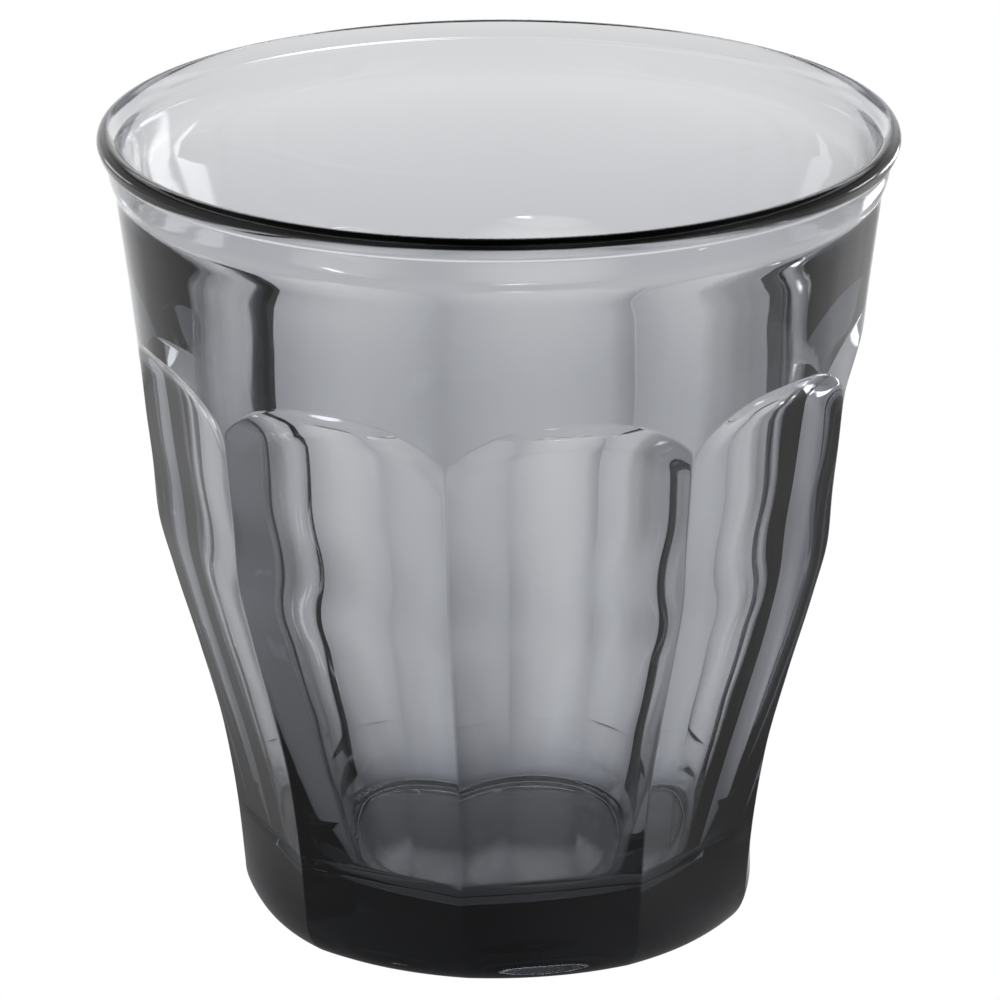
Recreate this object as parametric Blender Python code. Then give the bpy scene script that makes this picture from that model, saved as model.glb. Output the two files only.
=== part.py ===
"""Faceted drinking tumbler, pressed from one gob of smoke-grey glass.

The outside is a turned blank, wider at the lip than at the foot, with nine
panels let into it.  Each panel starts under an arch, follows the blank down
in an S-curve and ends on a small shelf above the foot.  The wall flares out
at the top into a small rounded lip with a fine step under it.  The inside is
a plain tapered cup with a rounded floor.  The underside is hollowed, so that
the glass stands on a narrow flat ring.

Frame: metres, +Z up along the axis, origin at the middle of the standing
ring.  The edge between two panels points towards -Y.
"""

from math import atan, cos, pi, radians, sin, tan

import bmesh
import bpy

# ---------------------------------------------------------------------------
# Driving dimensions, in millimetres and degrees
# ---------------------------------------------------------------------------
HEIGHT = 88.1
RIM_RADIUS = 43.0            # widest point of the lip
LIP_OUT = 0.9                # from the lip's widest point in to its crown
LIP_RISE = 1.2               # from the widest point up to the crown
LIP_POWER = 2.0              # 2 is an ellipse, less is leaner
LIP_IN = 1.4                 # rounding of the crown on the cup's side
LIP_FALL = 2.15              # and its height
LIP_LEAN = 20.0              # lean of the cup's wall at the lip, in degrees

PANELS = 9
PANEL_SWELL = 0.0            # 0 is a flat panel, 1 follows the turned blank
FOOT_SWELL = 0.08            # the foot's faces are nearly flat at the shelf
FOOT_ROUND = 0.55            # and fuller at the corner underneath
ARCH_SPRING = 61.9           # height at which two neighbouring arches meet
ARCH_CROWN = 66.8            # height of the top of an arch
ARCH_POWER = 2.7             # shape of the arch between spring and crown
LEDGE = 3.8                  # height of the sloped ledge under an arch
LEDGE_POWER = 1.56

SHELF = 11.6                 # top of the foot, where the panels end
SHELF_RISE = 0.5
FOOT_CORNER = 4.6            # height of the rounded corner under the foot
STAND_OUTER = 24.4           # outer radius of the flat standing ring
STAND_INNER = 21.8
HOLLOW_RADIUS = 19.8         # hollow in the underside
HOLLOW_EDGE = 1.6            # its depth at the edge
HOLLOW_CROWN = 2.0           # its depth in the middle

FLOOR = 7.0                  # inside floor above the standing ring
FLOOR_ROUND = 6.0            # radius between floor and wall

# Turned blank, (height, radius), from the foot's corner up to the lip.
BLANK = (
    (FOOT_CORNER, 28.03),
    (SHELF, 28.75),
    (20.5, 30.20),
    (29.8, 32.70),
    (38.8, 35.40),
    (45.6, 37.10),           # shoulder
    (50.6, 37.50),
    (56.6, 38.20),
    (ARCH_SPRING, 38.70),
    (70.5, 39.65),
    (79.3, 40.80),
    (81.5, 41.10),
    (83.2, 41.70),
    (84.9, 42.07),
    (85.55, 42.20),          # fine step under the lip
    (85.95, 42.66),
    (HEIGHT - LIP_RISE, RIM_RADIUS),
)

# Wall of the cup, (height, radius), above the rounded floor.
CUP = (
    (20.0, 25.00),
    (40.0, 30.60),
    (50.0, 32.35),
    (60.0, 33.95),
    (70.0, 35.90),
    (78.0, 38.02),           # from here the wall turns outwards to the lip
    (82.0, 39.24),
    (HEIGHT - LIP_FALL, RIM_RADIUS - LIP_OUT - LIP_IN - LIP_FALL * tan(radians(LIP_LEAN))),
)
CUP_DRAFT = 0.30             # lean of the cup's wall just above the floor

# Mesh steps
STEPS_PER_PANEL = 8          # columns across one panel
PANEL_ROWS = 12
LEDGE_ROWS = 3
BAND_ROWS = 6
LIP_ROWS = 4
CROWN_ROWS = 5
CUP_ROWS = 16
FLOOR_ROWS = 5
CORNER_ROWS = 4

HALF = 180.0 / PANELS        # half the angle of one panel
MM = 0.001


# ---------------------------------------------------------------------------
# Shape
# ---------------------------------------------------------------------------
def through(stations, z):
    """Radius at height z on a smooth curve through (height, radius) stations.

    The slope at a station is the harmonic mean of its neighbours, so the
    curve never overshoots between two stations.
    """
    n = len(stations)
    gaps = [stations[i + 1][0] - stations[i][0] for i in range(n - 1)]
    rise = [(stations[i + 1][1] - stations[i][1]) / gaps[i] for i in range(n - 1)]

    def slope(i):
        if i == 0:
            return rise[0]
        if i == n - 1:
            return rise[-1]
        if rise[i - 1] * rise[i] <= 0.0:
            return 0.0
        w1 = 2.0 * gaps[i] + gaps[i - 1]
        w2 = gaps[i] + 2.0 * gaps[i - 1]
        return (w1 + w2) / (w1 / rise[i - 1] + w2 / rise[i])

    i = 0
    while i < n - 2 and z > stations[i + 1][0]:
        i += 1
    h = gaps[i]
    t = (z - stations[i][0]) / h
    return (
        stations[i][1] * (1 + 2 * t) * (1 - t) ** 2
        + stations[i + 1][1] * t * t * (3 - 2 * t)
        + slope(i) * h * t * (1 - t) ** 2
        - slope(i + 1) * h * t * t * (1 - t)
    )


def section(phi, swell):
    """Radius of a panelled section at phi degrees from a panel's middle,
    as a share of the radius at the edges between panels."""
    flat = cos(radians(HALF)) / cos(radians(phi))
    return flat + (1.0 - flat) * swell


def arch(phi):
    """Height of the arch's line at phi degrees from the panel's middle."""
    return ARCH_CROWN - (ARCH_CROWN - ARCH_SPRING) * abs(phi / HALF) ** ARCH_POWER


def body(phi, z):
    """Outside radius between the shelf and the lip."""
    blank = through(BLANK, z)
    below = arch(phi) - z
    if below <= 0.0:
        return blank
    cut = 1.0 - (1.0 - min(below / LEDGE, 1.0)) ** LEDGE_POWER
    return blank * (1.0 - cut * (1.0 - section(phi, PANEL_SWELL)))


def foot(phi, z):
    """Outside radius of the foot, from its rounded corner up to the shelf."""
    low = max(SHELF - z, 0.0) / (SHELF - FOOT_CORNER)
    swell = FOOT_SWELL + (FOOT_ROUND - FOOT_SWELL) * low
    return through(BLANK, z) * section(phi, swell)


def outside(phi):
    """(radius, height) down the middle of the underside, out over the
    standing ring, and up the outside to the widest point of the lip."""
    yield HOLLOW_RADIUS * 0.5, HOLLOW_CROWN - (HOLLOW_CROWN - HOLLOW_EDGE) * 0.25
    yield HOLLOW_RADIUS, HOLLOW_EDGE
    yield HOLLOW_RADIUS + 1.2, HOLLOW_EDGE * 0.6
    yield STAND_INNER, 0.0
    yield STAND_OUTER, 0.0
    wide = foot(phi, FOOT_CORNER)
    for k in range(1, CORNER_ROWS + 1):
        a = pi / 2 * k / CORNER_ROWS
        yield (
            STAND_OUTER + (wide - STAND_OUTER) * sin(a),
            FOOT_CORNER * (1.0 - cos(a)),
        )
    middle = (FOOT_CORNER + SHELF) / 2
    yield foot(phi, middle), middle
    yield foot(phi, SHELF), SHELF
    low, high = SHELF + SHELF_RISE, arch(phi) - LEDGE
    for k in range(PANEL_ROWS + 1):
        z = low + (high - low) * k / PANEL_ROWS
        yield body(phi, z), z
    for k in range(1, LEDGE_ROWS + 1):
        z = high + LEDGE * k / LEDGE_ROWS
        yield body(phi, z), z
    low, high = arch(phi), BLANK[10][0]
    for k in range(1, BAND_ROWS + 1):
        z = low + (high - low) * k / BAND_ROWS
        yield through(BLANK, z), z
    for z, r in BLANK[11:]:
        yield r, z


def inside():
    """(radius, height) over the lip and down the cup to the floor."""
    crown = RIM_RADIUS - LIP_OUT
    for k in range(1, LIP_ROWS + 1):
        a = pi / 2 * k / LIP_ROWS
        yield (
            crown + LIP_OUT * max(cos(a), 0.0) ** (2.0 / LIP_POWER),
            HEIGHT - LIP_RISE * (1.0 - sin(a) ** (2.0 / LIP_POWER)),
        )
    lean = tan(radians(LIP_LEAN))
    for k in range(1, CROWN_ROWS):
        a = pi / 2 * k / CROWN_ROWS
        yield (
            crown - LIP_IN * sin(a) - lean * LIP_FALL * (1.0 - cos(a)),
            HEIGHT - LIP_FALL * (1.0 - cos(a)),
        )
    lean = atan(CUP_DRAFT)
    centre_z = FLOOR + FLOOR_ROUND
    wall = CUP[0][1] + CUP_DRAFT * (centre_z - CUP[0][0])
    centre_r = wall - FLOOR_ROUND / cos(lean)
    top = CUP[-1][0]
    for k in range(CUP_ROWS + 1):
        z = top + (CUP[0][0] - top) * k / CUP_ROWS
        yield through(CUP, z), z
    for k in range(FLOOR_ROWS + 1):
        a = (pi / 2 - lean) * (1.0 - k / FLOOR_ROWS)
        yield centre_r + FLOOR_ROUND * sin(a), centre_z - FLOOR_ROUND * cos(a)
    yield centre_r * 0.5, FLOOR


def tumbler():
    columns = PANELS * STEPS_PER_PANEL
    bm = bmesh.new()
    rings = []
    for c in range(columns):
        phi = -HALF + 2 * HALF * (c % STEPS_PER_PANEL) / STEPS_PER_PANEL
        turn = -pi / 2 + 2 * pi * c / columns
        column = []
        for r, z in list(outside(phi)) + list(inside()):
            column.append(
                bm.verts.new((r * cos(turn) * MM, r * sin(turn) * MM, z * MM))
            )
        rings.append(column)
    under = bm.verts.new((0.0, 0.0, HOLLOW_CROWN * MM))
    floor = bm.verts.new((0.0, 0.0, FLOOR * MM))
    for c in range(columns):
        here, there = rings[c], rings[(c + 1) % columns]
        bm.faces.new((under, there[0], here[0]))
        for k in range(len(here) - 1):
            bm.faces.new((here[k], there[k], there[k + 1], here[k + 1]))
        bm.faces.new((floor, here[-1], there[-1]))
    bmesh.ops.recalc_face_normals(bm, faces=bm.faces)
    mesh = bpy.data.meshes.new("tumbler_glass")
    bm.to_mesh(mesh)
    bm.free()
    mesh.shade_smooth()
    mesh.set_sharp_from_angle(angle=radians(24.0))
    return mesh


def smoke_glass():
    material = bpy.data.materials.new("smoke_glass")
    material.use_nodes = True
    shader = material.node_tree.nodes["Principled BSDF"]
    shader.inputs["Base Color"].default_value = (0.62, 0.63, 0.65, 1.0)
    shader.inputs["Metallic"].default_value = 0.0
    shader.inputs["Roughness"].default_value = 0.03
    shader.inputs["IOR"].default_value = 1.52
    shader.inputs["Transmission Weight"].default_value = 1.0
    return material


for old in list(bpy.data.objects):
    bpy.data.objects.remove(old, do_unlink=True)

glass = bpy.data.objects.new("tumbler_glass", tumbler())
glass.data.materials.append(smoke_glass())
bpy.context.scene.collection.objects.link(glass)
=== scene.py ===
from math import atan, cos, pi, radians, sin, tan

import bpy
from mathutils import Matrix, Vector


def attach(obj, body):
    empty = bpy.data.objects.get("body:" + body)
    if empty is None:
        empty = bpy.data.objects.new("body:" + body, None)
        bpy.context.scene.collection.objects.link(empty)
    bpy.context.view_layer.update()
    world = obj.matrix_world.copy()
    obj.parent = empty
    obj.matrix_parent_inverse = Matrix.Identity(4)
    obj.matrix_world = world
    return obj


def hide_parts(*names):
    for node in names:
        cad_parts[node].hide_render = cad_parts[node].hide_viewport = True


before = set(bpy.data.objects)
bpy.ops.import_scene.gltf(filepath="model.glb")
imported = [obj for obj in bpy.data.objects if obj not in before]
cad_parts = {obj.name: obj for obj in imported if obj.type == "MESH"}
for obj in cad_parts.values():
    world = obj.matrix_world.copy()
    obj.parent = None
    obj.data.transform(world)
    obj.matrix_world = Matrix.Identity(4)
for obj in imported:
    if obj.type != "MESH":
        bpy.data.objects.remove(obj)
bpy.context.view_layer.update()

# ---------------------------------------------------------------------------
# Shape of the tumbler, in millimetres and degrees.  The dimensions are those
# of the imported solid; here they are followed with a much finer mesh, rounded
# edges and the slight unevenness of pressed glass.
# ---------------------------------------------------------------------------
HEIGHT = 88.1
RIM_RADIUS = 43.0
LIP_OUT = 0.9
LIP_RISE = 1.2
LIP_POWER = 2.0
LIP_IN = 1.4
LIP_FALL = 2.15
LIP_LEAN = 20.0

PANELS = 9
PANEL_SWELL = 0.0
FOOT_SWELL = 0.08
FOOT_ROUND = 0.55
ARCH_SPRING = 61.9
ARCH_CROWN = 66.8
ARCH_POWER = 2.7
LEDGE = 3.8
LEDGE_POWER = 1.56

SHELF = 11.6
SHELF_RISE = 0.5
FOOT_CORNER = 4.6
STAND_OUTER = 24.4
STAND_INNER = 21.8
HOLLOW_RADIUS = 19.8
HOLLOW_EDGE = 1.6
HOLLOW_CROWN = 2.0

FLOOR = 7.0
FLOOR_ROUND = 6.0

BLANK = (
    (FOOT_CORNER, 28.03),
    (SHELF, 28.75),
    (20.5, 30.20),
    (29.8, 32.70),
    (38.8, 35.40),
    (45.6, 37.10),
    (50.6, 37.50),
    (56.6, 38.20),
    (ARCH_SPRING, 38.70),
    (70.5, 39.65),
    (79.3, 40.80),
    (81.5, 41.10),
    (83.2, 41.70),
    (84.9, 42.07),
    (85.55, 42.20),
    (85.95, 42.66),
    (HEIGHT - LIP_RISE, RIM_RADIUS),
)
CUP = (
    (20.0, 25.00),
    (40.0, 30.60),
    (50.0, 32.35),
    (60.0, 33.95),
    (70.0, 35.90),
    (78.0, 38.02),
    (82.0, 39.24),
    (HEIGHT - LIP_FALL, RIM_RADIUS - LIP_OUT - LIP_IN - LIP_FALL * tan(radians(LIP_LEAN))),
)
CUP_DRAFT = 0.30

HALF = 180.0 / PANELS
EDGE_ROUND = 0.35     # degrees either side of an edge over which it is rounded
MM = 0.001


def through(stations, z):
    n = len(stations)
    gaps = [stations[i + 1][0] - stations[i][0] for i in range(n - 1)]
    rise = [(stations[i + 1][1] - stations[i][1]) / gaps[i] for i in range(n - 1)]

    def slope(i):
        if i == 0:
            return rise[0]
        if i == n - 1:
            return rise[-1]
        if rise[i - 1] * rise[i] <= 0.0:
            return 0.0
        w1 = 2.0 * gaps[i] + gaps[i - 1]
        w2 = gaps[i] + 2.0 * gaps[i - 1]
        return (w1 + w2) / (w1 / rise[i - 1] + w2 / rise[i])

    i = 0
    while i < n - 2 and z > stations[i + 1][0]:
        i += 1
    h = gaps[i]
    t = (z - stations[i][0]) / h
    return (
        stations[i][1] * (1 + 2 * t) * (1 - t) ** 2
        + stations[i + 1][1] * t * t * (3 - 2 * t)
        + slope(i) * h * t * (1 - t) ** 2
        - slope(i + 1) * h * t * t * (1 - t)
    )


def eased(phi):
    """phi folded so that the edge between two panels is a small round."""
    a = abs(phi)
    start = HALF - EDGE_ROUND
    if a <= start:
        return a
    t = (a - start) / EDGE_ROUND
    return start + EDGE_ROUND * (t - 0.5 * t * t)


def section(phi, swell):
    flat = cos(radians(HALF)) / cos(radians(eased(phi)))
    return flat + (1.0 - flat) * swell


def arch(phi):
    return ARCH_CROWN - (ARCH_CROWN - ARCH_SPRING) * abs(phi / HALF) ** ARCH_POWER


def body(phi, z):
    blank = through(BLANK, z)
    below = arch(phi) - z
    if below <= 0.0:
        return blank
    cut = 1.0 - (1.0 - min(below / LEDGE, 1.0)) ** LEDGE_POWER
    return blank * (1.0 - cut * (1.0 - section(phi, PANEL_SWELL)))


def foot(phi, z):
    low = max(SHELF - z, 0.0) / (SHELF - FOOT_CORNER)
    swell = FOOT_SWELL + (FOOT_ROUND - FOOT_SWELL) * low
    return through(BLANK, z) * section(phi, swell)


def span(low, high, rows, first=1):
    for k in range(first, rows + 1):
        yield low + (high - low) * k / rows


def outside(phi):
    for t in span(0.0, 1.0, 10):
        yield HOLLOW_RADIUS * t, HOLLOW_CROWN - (HOLLOW_CROWN - HOLLOW_EDGE) * t * t
    for t in span(0.0, 1.0, 6):
        s = t * t * (3 - 2 * t)
        yield HOLLOW_RADIUS + (STAND_INNER - HOLLOW_RADIUS) * t, HOLLOW_EDGE * (1 - s)
    yield STAND_OUTER, 0.0
    wide = foot(phi, FOOT_CORNER)
    for a in span(0.0, pi / 2, 12):
        yield (
            STAND_OUTER + (wide - STAND_OUTER) * sin(a),
            FOOT_CORNER * (1.0 - cos(a)),
        )
    for z in span(FOOT_CORNER, SHELF, 8):
        yield foot(phi, z), z
    for t in span(0.0, 1.0, 6):
        if t < 1.0:
            z = SHELF + SHELF_RISE * t
            mix = 1.0 - (1.0 - t) ** 2.0
            yield foot(phi, z) * (1 - mix) + body(phi, z) * mix, z
    crest = arch(phi)
    for z in span(SHELF + SHELF_RISE, crest - LEDGE, 54, first=0):
        yield body(phi, z), z
    for z in span(crest - LEDGE, crest, 12):
        yield body(phi, z), z
    yield through(BLANK, crest + 0.08), crest + 0.08
    for z in span(crest + 0.08, 79.3, 20):
        yield through(BLANK, z), z
    for z in span(79.3, 85.3, 16):
        yield through(BLANK, z), z
    for z in span(85.3, 86.3, 14):
        yield through(BLANK, z), z
    for z in span(86.3, BLANK[-1][0], 6):
        yield through(BLANK, z), z


def inside():
    crown = RIM_RADIUS - LIP_OUT
    for a in span(0.0, pi / 2, 18):
        yield (
            crown + LIP_OUT * max(cos(a), 0.0) ** (2.0 / LIP_POWER),
            HEIGHT - LIP_RISE * (1.0 - sin(a) ** (2.0 / LIP_POWER)),
        )
    lean = tan(radians(LIP_LEAN))
    for a in span(0.0, pi / 2, 16):
        if a < pi / 2 - 1e-6:
            yield (
                crown - LIP_IN * sin(a) - lean * LIP_FALL * (1.0 - cos(a)),
                HEIGHT - LIP_FALL * (1.0 - cos(a)),
            )
    lean = atan(CUP_DRAFT)
    centre_z = FLOOR + FLOOR_ROUND
    wall = CUP[0][1] + CUP_DRAFT * (centre_z - CUP[0][0])
    centre_r = wall - FLOOR_ROUND / cos(lean)
    for z in span(CUP[-1][0], CUP[0][0], 54, first=0):
        yield through(CUP, z), z
    for t in span(1.0, 0.0, 18, first=0):
        a = (pi / 2 - lean) * t
        yield centre_r + FLOOR_ROUND * sin(a), centre_z - FLOOR_ROUND * cos(a)
    for t in span(1.0, 0.0, 10):
        if t > 0.0:
            yield centre_r * t, FLOOR


def columns():
    """Angles of the mesh columns across one panel, closer near its edges."""
    steps = 0.0, 0.10, 0.20, 0.30, 0.42, 0.65, 1.1, 1.8, 2.8, 4.1, 5.7, 7.6, 9.8, 12.2, 14.7, 17.3
    left = [step - HALF for step in steps]
    right = [HALF - step for step in reversed(steps[1:])]
    return left + [0.0] + right


def tumbler():
    verts, faces = [], []
    across = columns()
    inner = list(inside())
    profiles = [list(outside(phi)) + inner for phi in across]
    count = len(profiles[0])
    turns = 0
    for p in range(PANELS):
        for phi, profile in zip(across, profiles):
            turn = -pi / 2 + radians(2 * HALF * p + HALF + phi)
            c, s = cos(turn), sin(turn)
            for r, z in profile:
                verts.append((r * c * MM, r * s * MM, z * MM))
            turns += 1
    under = len(verts)
    verts.append((0.0, 0.0, HOLLOW_CROWN * MM))
    floor = len(verts)
    verts.append((0.0, 0.0, FLOOR * MM))
    for c in range(turns):
        a, b = c * count, ((c + 1) % turns) * count
        faces.append((under, b, a))
        for k in range(count - 1):
            faces.append((a + k, b + k, b + k + 1, a + k + 1))
        faces.append((floor, a + count - 1, b + count - 1))
    mesh = bpy.data.meshes.new("tumbler")
    mesh.from_pydata(verts, [], faces)
    mesh.update()
    mesh.shade_smooth()
    return mesh


def glass_material():
    m = bpy.data.materials.new("smoke_glass")
    m.use_nodes = True
    nt = m.node_tree
    shader = nt.nodes["Principled BSDF"]
    out = nt.nodes["Material Output"]
    shader.inputs["Base Color"].default_value = (1.0, 1.0, 1.0, 1.0)
    shader.inputs["IOR"].default_value = 1.52
    shader.inputs["Transmission Weight"].default_value = 1.0
    place = nt.nodes.new("ShaderNodeTexCoord").outputs["Object"]
    # handling marks: patches that are a little less polished
    marks = nt.nodes.new("ShaderNodeTexNoise")
    marks.inputs["Scale"].default_value = 420.0
    marks.inputs["Detail"].default_value = 4.0
    nt.links.new(place, marks.inputs["Vector"])
    polish = nt.nodes.new("ShaderNodeMapRange")
    polish.inputs["From Min"].default_value = 0.35
    polish.inputs["From Max"].default_value = 0.75
    polish.inputs["To Min"].default_value = 0.0
    polish.inputs["To Max"].default_value = 0.045
    nt.links.new(marks.outputs["Fac"], polish.inputs["Value"])
    nt.links.new(polish.outputs["Result"], shader.inputs["Roughness"])
    # flow of the pressed glass: shallow ripples drawn out up the wall
    drawn = nt.nodes.new("ShaderNodeMapping")
    drawn.inputs["Scale"].default_value = (1.0, 1.0, 0.16)
    nt.links.new(place, drawn.inputs["Vector"])
    flow = nt.nodes.new("ShaderNodeTexNoise")
    flow.inputs["Scale"].default_value = 230.0
    flow.inputs["Detail"].default_value = 2.0
    nt.links.new(drawn.outputs["Vector"], flow.inputs["Vector"])
    ripple = nt.nodes.new("ShaderNodeBump")
    ripple.inputs["Strength"].default_value = 0.6
    ripple.inputs["Distance"].default_value = 0.00002
    nt.links.new(flow.outputs["Fac"], ripple.inputs["Height"])
    nt.links.new(ripple.outputs["Normal"], shader.inputs["Normal"])
    volume = nt.nodes.new("ShaderNodeVolumeAbsorption")
    volume.inputs["Color"].default_value = (0.248, 0.274, 0.336, 1.0)
    volume.inputs["Density"].default_value = 155.0
    nt.links.new(volume.outputs["Volume"], out.inputs["Volume"])
    return m


glass = bpy.data.objects.new("tumbler", tumbler())
bpy.context.scene.collection.objects.link(glass)
glass.data.materials.append(glass_material())
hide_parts("tumbler_glass")
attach(glass, "root")

# ---------------------------------------------------------------------------
# Camera
# ---------------------------------------------------------------------------
AZIMUTH, ELEVATION, DISTANCE, ROLL = 8.489, 18.425, 1.000, -0.179
AIM = Vector((0.0, 0.0, 0.045846))

scene = bpy.context.scene
cam_data = bpy.data.cameras.new("camera")
cam_data.sensor_width = 36.0
cam_data.lens = 332.47
cam_data.clip_end = 200.0
cam = bpy.data.objects.new("camera", cam_data)
a, e = radians(AZIMUTH), radians(ELEVATION)
cam.location = AIM + DISTANCE * Vector((sin(a) * cos(e), -cos(a) * cos(e), sin(e)))
look = (AIM - cam.location).to_track_quat("-Z", "Y").to_matrix()
cam.rotation_euler = (look @ Matrix.Rotation(radians(ROLL), 3, "Z")).to_euler()
scene.collection.objects.link(cam)
scene.camera = cam

# ---------------------------------------------------------------------------
# Studio: a pale sweep.  A broad lane of light is painted on the floor behind the
# glass and rises into a low backdrop glow; the sides fall off to painted grey
# shade, and the room overhead is dim.  HEADING is the lane's direction.
# ---------------------------------------------------------------------------
HEADING = 8.489

# (degrees from the lane, level), going left round to right, on the floor
FLOOR_FAR = (
    (-180, 0.50), (-155, 0.42), (-130, 0.60), (-105, 0.44), (-68, 0.52), (-50, 0.54), (-38, 0.72),
    (-28, 0.88), (-14, 0.94), (0, 0.95), (13, 0.94), (20, 0.64), (27, 0.48), (36, 0.56), (46, 0.72),
    (57, 0.78), (68, 0.62), (85, 0.50), (118, 0.80), (145, 0.70), (180, 0.50),
)
# (degrees from the lane, level) close round the glass: painted shade where the glass keeps light off the floor,
# bright only along the lane behind it
FLOOR_NEAR = (
    (-180, 0.20), (-135, 0.24), (-90, 0.26), (-50, 0.31), (-20, 0.72), (0, 0.93),
    (10, 1.04), (22, 1.00), (40, 0.94), (58, 0.58), (88, 0.28), (115, 0.38), (150, 0.30), (180, 0.20),
)
SKY_ROUND = (
    (-180, 0.10), (-140, 0.26), (-90, 0.44), (-55, 0.38), (-40, 0.48), (-26, 0.72), (-12, 1.00),
    (12, 1.00), (26, 0.72), (40, 0.42), (90, 0.28), (140, 0.18), (180, 0.10),
)
SKY_RISE = (
    (0, 0.93), (1.5, 1.00), (5, 1.06), (8, 1.06), (13, 1.10), (17, 0.84), (20, 0.58), (24, 0.60),
    (28, 2.60), (33, 2.60), (36, 0.34), (45, 0.22), (60, 0.12), (90, 0.06),
)
# pools of extra light on the floor, either side of the lane:
# degrees from, degrees to, metres from, metres to, level
POOLS = (
    (29, 46, 0.32, 0.50, 4.6),
    (53, 64, 0.60, 1.20, 4.8),
    (-55, -38, 0.55, 1.10, 1.7),
)


def ramp(nt, factor, stops, low, high):
    node = nt.nodes.new("ShaderNodeValToRGB")
    band = node.color_ramp
    band.interpolation = "EASE"
    points = [((d - low) / (high - low), v) for d, v in stops]
    while len(band.elements) < len(points):
        band.elements.new(0.5)
    for element, (p, v) in zip(band.elements, points):
        element.position = p
        element.color = (v, v, v, 1.0)
    nt.links.new(factor, node.inputs["Fac"])
    return node.outputs["Color"]


def maths(nt, kind, *values):
    node = nt.nodes.new("ShaderNodeMath")
    node.operation = kind
    for socket, v in zip(node.inputs, values):
        if isinstance(v, (int, float)):
            socket.default_value = v
        else:
            nt.links.new(v, socket)
    return node.outputs[0]


def bearing(nt, vector):
    """Angle round the glass as a share of a turn, 0.5 along the lane."""
    turn = nt.nodes.new("ShaderNodeVectorRotate")
    turn.rotation_type = "Z_AXIS"
    turn.inputs["Angle"].default_value = -radians(HEADING)
    nt.links.new(vector, turn.inputs["Vector"])
    xyz = nt.nodes.new("ShaderNodeSeparateXYZ")
    nt.links.new(turn.outputs[0], xyz.inputs[0])
    angle = maths(nt, "ARCTAN2", xyz.outputs["X"], xyz.outputs["Y"])
    share = maths(nt, "MULTIPLY_ADD", angle, 1.0 / (2.0 * pi), 0.5)
    return share, xyz.outputs["Z"]


def combine(nt, kind, a, b):
    node = nt.nodes.new("ShaderNodeMix")
    node.data_type = "RGBA"
    node.blend_type = kind
    node.inputs[0].default_value = 1.0
    nt.links.new(a, node.inputs[6])
    nt.links.new(b, node.inputs[7])
    return node.outputs[2]


def mixed(nt, factor, a, b):
    node = nt.nodes.new("ShaderNodeMix")
    node.data_type = "RGBA"
    nt.links.new(factor, node.inputs[0])
    for socket, v in ((node.inputs[6], a), (node.inputs[7], b)):
        if isinstance(v, tuple):
            socket.default_value = v
        else:
            nt.links.new(v, socket)
    return node.outputs[2]


def pale_floor():
    # The floor glows.  Rays from the camera see it plain white; for all other rays its glow is painted with the
    # lane and pools of light and with shade at the sides and round the glass.
    m = bpy.data.materials.new("pale_floor")
    m.use_nodes = True
    nt = m.node_tree
    nt.nodes.clear()
    out = nt.nodes.new("ShaderNodeOutputMaterial")
    shine = nt.nodes.new("ShaderNodeEmission")
    nt.links.new(shine.outputs[0], out.inputs["Surface"])
    place = nt.nodes.new("ShaderNodeNewGeometry").outputs["Position"]
    share, _ = bearing(nt, place)
    length = nt.nodes.new("ShaderNodeVectorMath")
    length.operation = "LENGTH"
    nt.links.new(place, length.inputs[0])
    far = ramp(nt, share, FLOOR_FAR, -180, 180)
    near = ramp(nt, share, FLOOR_NEAR, -180, 180)
    grow = nt.nodes.new("ShaderNodeMapRange")
    grow.interpolation_type = "SMOOTHSTEP"
    grow.inputs["From Min"].default_value = 0.050
    grow.inputs["From Max"].default_value = 0.150
    nt.links.new(length.outputs["Value"], grow.inputs["Value"])
    lit = mixed(nt, grow.outputs["Result"], near, far)
    # painted contact shadow: the floor under the standing ring, 21 to 31 mm from the centre, is darkened to 0.11
    under = nt.nodes.new("ShaderNodeMapRange")
    under.interpolation_type = "SMOOTHSTEP"
    under.inputs["From Min"].default_value = 0.021
    under.inputs["From Max"].default_value = 0.031
    nt.links.new(length.outputs["Value"], under.inputs["Value"])
    lit = mixed(nt, under.outputs["Result"], (0.11, 0.11, 0.11, 1.0), lit)
    metres = maths(nt, "MULTIPLY", length.outputs["Value"], 0.5)
    for left, right, start, end, level in POOLS:
        across = ramp(nt, share, ((-180, 0), (left - 4, 0), (left, level), (right, level), (right + 4, 0), (180, 0)), -180, 180)
        along = ramp(nt, metres, ((0, 0), (start - 0.05, 0), (start, 1), (end, 1), (end + 0.10, 0)), 0, 2)
        lit = combine(nt, "ADD", lit, combine(nt, "MULTIPLY", across, along))
    path = nt.nodes.new("ShaderNodeLightPath")
    lit = mixed(nt, path.outputs["Is Camera Ray"], lit, (1.0, 1.0, 1.0, 1.0))
    nt.links.new(lit, shine.inputs["Color"])
    m.cycles.emission_sampling = "NONE"
    return m


floor_mesh = bpy.data.meshes.new("floor")
w = 12.0
floor_mesh.from_pydata([(-w, -w, 0), (w, -w, 0), (w, w, 0), (-w, w, 0)], [], [(0, 1, 2, 3)])
floor = bpy.data.objects.new("floor", floor_mesh)
floor.location.z = -0.0003
scene.collection.objects.link(floor)
floor.data.materials.append(pale_floor())



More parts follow.
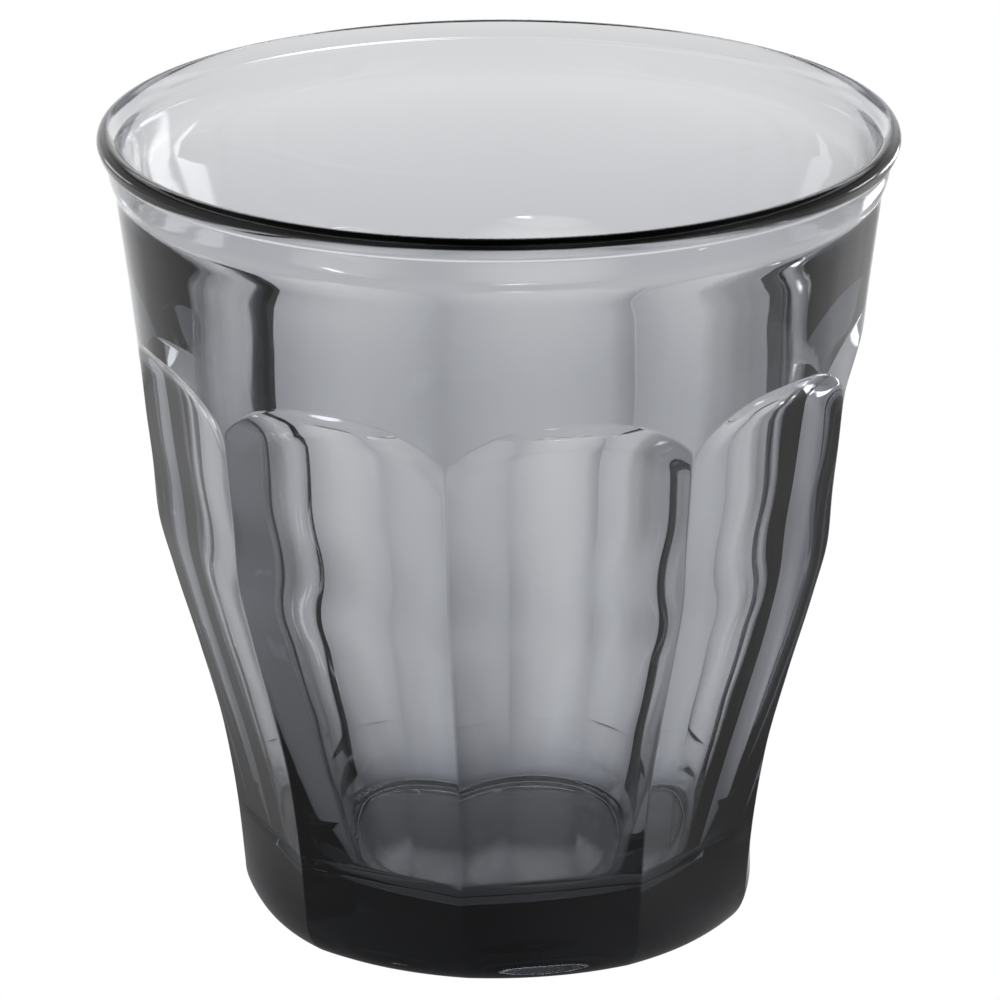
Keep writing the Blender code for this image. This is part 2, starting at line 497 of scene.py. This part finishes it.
def back_glow(name, middle, height, half_width, half_height, distance, level):
    """A soft pool of light on the backdrop, fading to the backdrop's level."""
    m = bpy.data.materials.new(name)
    m.use_nodes = True
    nt = m.node_tree
    nt.nodes.clear()
    out = nt.nodes.new("ShaderNodeOutputMaterial")
    shine = nt.nodes.new("ShaderNodeEmission")
    nt.links.new(shine.outputs[0], out.inputs["Surface"])
    place = nt.nodes.new("ShaderNodeMapping")
    place.inputs["Scale"].default_value = (1.0 / half_width, 0.0, 1.0 / half_height)
    nt.links.new(nt.nodes.new("ShaderNodeTexCoord").outputs["Object"], place.inputs["Vector"])
    away = nt.nodes.new("ShaderNodeVectorMath")
    away.operation = "LENGTH"
    nt.links.new(place.outputs["Vector"], away.inputs[0])
    glow = ramp(nt, away.outputs["Value"], ((0, level), (0.35, level), (1, 1.02)), 0, 1)
    path = nt.nodes.new("ShaderNodeLightPath")
    nt.links.new(mixed(nt, path.outputs["Is Camera Ray"], glow, (1.0, 1.0, 1.0, 1.0)), shine.inputs["Color"])
    m.cycles.emission_sampling = "NONE"
    w, h = half_width, half_height
    mesh = bpy.data.meshes.new(name)
    mesh.from_pydata([(-w, 0, -h), (w, 0, -h), (w, 0, h), (-w, 0, h)], [], [(0, 1, 2, 3)])
    panel = bpy.data.objects.new(name, mesh)
    turn = radians(HEADING)
    panel.location = (middle * cos(turn) - sin(turn) * distance, middle * sin(turn) + cos(turn) * distance, height)
    panel.rotation_euler = (0.0, 0.0, turn)
    scene.collection.objects.link(panel)
    panel.data.materials.append(m)


back_glow("back_glow", -0.054, 0.139, 0.058, 0.022, 1.0, 2.5)

world = bpy.data.worlds.new("studio")
scene.world = world
world.use_nodes = True
nt = world.node_tree
ground = nt.nodes["Background"]
aim = nt.nodes.new("ShaderNodeTexCoord").outputs["Generated"]
share, height = bearing(nt, aim)
rise = maths(nt, "MULTIPLY", maths(nt, "ARCSINE", height), 2.0 / pi)
sky = combine(nt, "MULTIPLY", ramp(nt, share, SKY_ROUND, -180, 180), ramp(nt, rise, SKY_RISE, 0, 90))
path = nt.nodes.new("ShaderNodeLightPath")
sky = mixed(nt, path.outputs["Is Camera Ray"], sky, (1.0, 1.0, 1.0, 1.0))
nt.links.new(sky, ground.inputs["Color"])
ground.inputs["Strength"].default_value = 1.0

scene.view_settings.view_transform = "Standard"
scene.cycles.max_bounces = 32
scene.cycles.transmission_bounces = 32
scene.cycles.glossy_bounces = 16
